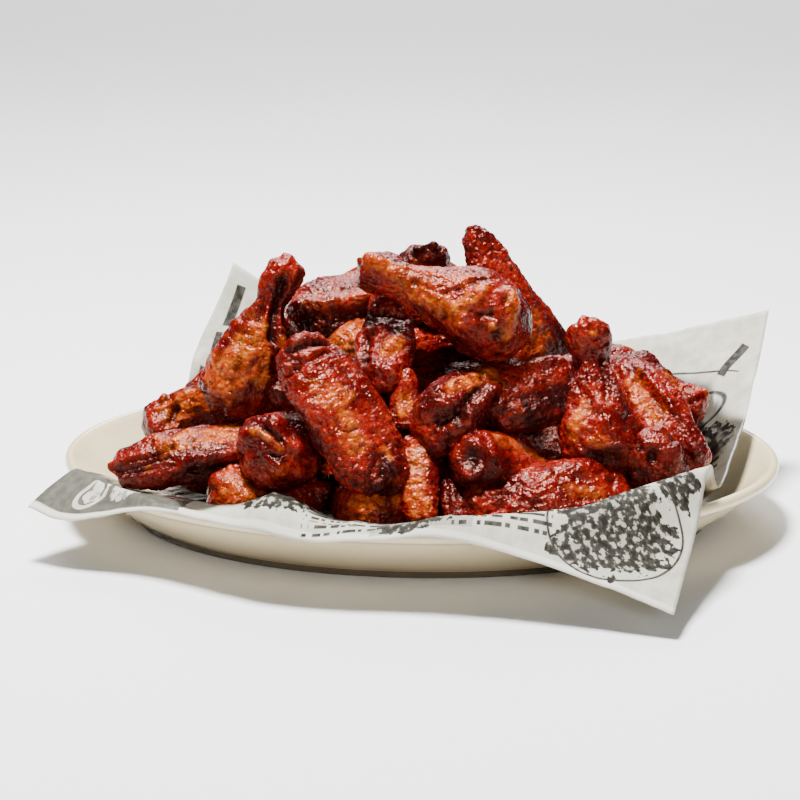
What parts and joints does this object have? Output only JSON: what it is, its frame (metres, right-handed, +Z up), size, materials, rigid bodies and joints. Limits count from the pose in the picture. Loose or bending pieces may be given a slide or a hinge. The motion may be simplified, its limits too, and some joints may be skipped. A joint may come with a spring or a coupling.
{
  "type": "chicken wings platter",
  "caption": "Heap of glazed chicken wings, drumettes and flats piled on a sheet of printed deli paper in a shallow oval platter.",
  "frame": {"origin": "middle of the platter's flat foot, on the table top", "axes": "+X along the platter's long axis to the right seen from the front, +Y to the back of the serving, +Z up"},
  "size_m": [0.3275, 0.2553, 0.1312],
  "materials": {
    "platter": "glossy cream glazed stoneware, opaque",
    "paper_liner": "matte greaseproof paper with grey-brown print",
    "glazed_chicken": "wet dark red-brown glaze over crisp skin, charred in places"
  },
  "bodies": {
    "root": {"drumette_01": "glazed_chicken", "drumette_02": "glazed_chicken", "drumette_04": "glazed_chicken", "drumette_07": "glazed_chicken", "drumette_10": "glazed_chicken", "drumette_13": "glazed_chicken", "drumette_14": "glazed_chicken", "drumette_17": "glazed_chicken", "drumette_19": "glazed_chicken", "drumette_20": "glazed_chicken", "drumette_21": "glazed_chicken", "drumette_22": "glazed_chicken", "drumette_31": "glazed_chicken", "drumette_33": "glazed_chicken", "drumette_35": "glazed_chicken", "drumette_37": "glazed_chicken", "drumette_38": "glazed_chicken", "drumette_40": "glazed_chicken", "drumette_43": "glazed_chicken", "drumette_45": "glazed_chicken", "drumette_46": "glazed_chicken", "fan_09": "glazed_chicken", "flat_03": "glazed_chicken", "flat_05": "glazed_chicken", "flat_06": "glazed_chicken", "flat_08": "glazed_chicken", "flat_11": "glazed_chicken", "flat_15": "glazed_chicken", "flat_16": "glazed_chicken", "flat_18": "glazed_chicken", "flat_24": "glazed_chicken", "flat_26": "glazed_chicken", "flat_27": "glazed_chicken", "flat_30": "glazed_chicken", "flat_32": "glazed_chicken", "flat_34": "glazed_chicken", "flat_36": "glazed_chicken", "flat_39": "glazed_chicken", "flat_41": "glazed_chicken", "flat_42": "glazed_chicken", "flat_44": "glazed_chicken", "flat_47": "glazed_chicken", "flat_48": "glazed_chicken", "flat_49": "glazed_chicken", "paper_liner": "paper_liner", "platter": "platter", "tip_12": "glazed_chicken", "tip_25": "glazed_chicken"}
  },
  "joints": []
}
